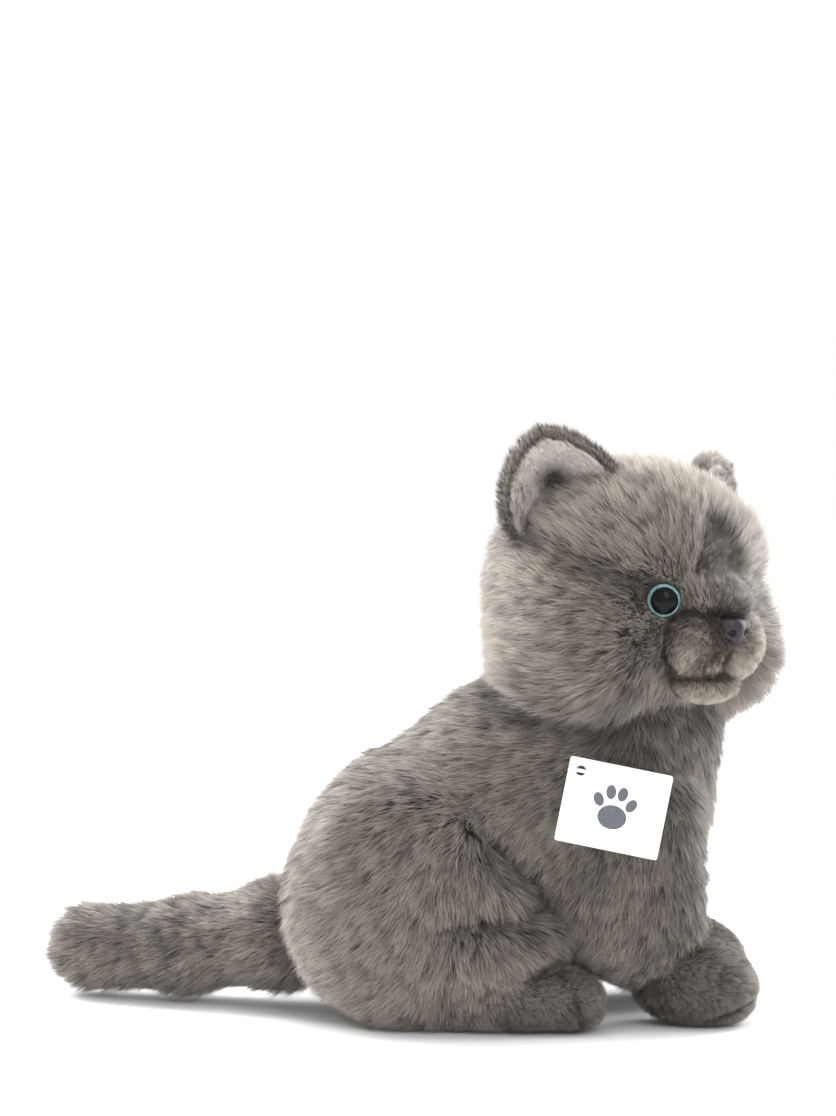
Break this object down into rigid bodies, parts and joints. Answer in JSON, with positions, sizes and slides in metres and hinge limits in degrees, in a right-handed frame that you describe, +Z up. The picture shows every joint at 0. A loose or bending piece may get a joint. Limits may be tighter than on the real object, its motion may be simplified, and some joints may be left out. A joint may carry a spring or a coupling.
{
  "type": "plush cat",
  "caption": "Seated plush cat with long grey pile, its head turned to its right, upright ears, glass-like blue eyes, a thick tail lying behind it and a blank swing tag on its shoulder.",
  "frame": {"origin": "the middle of the flat seat, on the surface that the cat sits on", "axes": "+X is the way the body faces, +Y is the cat's left, +Z is up"},
  "size_m": [0.236, 0.106, 0.1931],
  "materials": {
    "body_pile": "matte",
    "head_pile": "matte",
    "short_pile": "matte",
    "ear_lining": "matte",
    "filling": "matte",
    "bag_cloth": "matte",
    "eye": "gloss",
    "nose": "satin",
    "washer": "matte",
    "fastener": "gloss",
    "tag_card": "satin"
  },
  "bodies": {
    "torso": {"back_panel": "body_pile", "chest_panel": "body_pile", "side_panel_left": "body_pile", "side_panel_right": "body_pile", "seat_panel": "body_pile", "torso_filling": "filling", "pellet_bag": "bag_cloth", "haunch_left": "body_pile", "haunch_filling_left": "filling", "hind_foot_left": "short_pile", "hind_foot_filling_left": "filling", "front_leg_left": "body_pile", "front_leg_filling_left": "filling", "front_paw_left": "short_pile", "front_paw_filling_left": "filling", "haunch_right": "body_pile", "haunch_filling_right": "filling", "hind_foot_right": "short_pile", "hind_foot_filling_right": "filling", "front_leg_right": "body_pile", "front_leg_filling_right": "filling", "front_paw_right": "short_pile", "front_paw_filling_right": "filling", "tag_fastener": "fastener"},
    "head": {"crown_panel": "head_pile", "cheek_panel_left": "head_pile", "cheek_panel_right": "head_pile", "forehead_wedge": "short_pile", "muzzle_left": "short_pile", "muzzle_right": "short_pile", "chin": "short_pile", "head_filling": "filling", "eye_left": "eye", "eye_right": "eye", "eye_lock_washers": "washer", "nose": "nose", "nose_lock_washer": "washer"},
    "ear_left": {"ear_back_left": "head_pile", "ear_lining_left": "ear_lining"},
    "ear_right": {"ear_back_right": "head_pile", "ear_lining_right": "ear_lining"},
    "tail": {"tail_cover": "body_pile", "tail_filling": "filling"},
    "tag": {"swing_tag": "tag_card"}
  },
  "joints": [
    {"name": "head_turn", "type": "hinge", "parent": "torso", "child": "head", "pos_m": [0.0695, -0.006, 0.138], "axis": [0.0389, 0.035, 0.9986], "range_deg": [-15, 15], "stiffness_Nm_per_rad": 0.05},
    {"name": "ear_left_fold", "type": "hinge", "parent": "head", "child": "ear_left", "pos_m": [0.09446, 0.02084, 0.16963], "axis": [0.1287, 0.7351, -0.6657], "range_deg": [-20, 35], "stiffness_Nm_per_rad": 0.005},
    {"name": "ear_right_fold", "type": "hinge", "parent": "head", "child": "ear_right", "pos_m": [0.04406, -0.02455, 0.1745], "axis": [0.8928, 0.1847, 0.4109], "range_deg": [-20, 35], "stiffness_Nm_per_rad": 0.005},
    {"name": "tail_swing", "type": "hinge", "parent": "torso", "child": "tail", "pos_m": [-0.041, 0.006, 0.0245], "axis": [0, 0, 1], "range_deg": [-25, 25], "stiffness_Nm_per_rad": 0.03},
    {"name": "tag_swing", "type": "hinge", "parent": "torso", "child": "tag", "pos_m": [0.053, -0.044, 0.0849], "axis": [0, -0.9945, 0.1045], "range_deg": [-30, 25]}
  ]
}
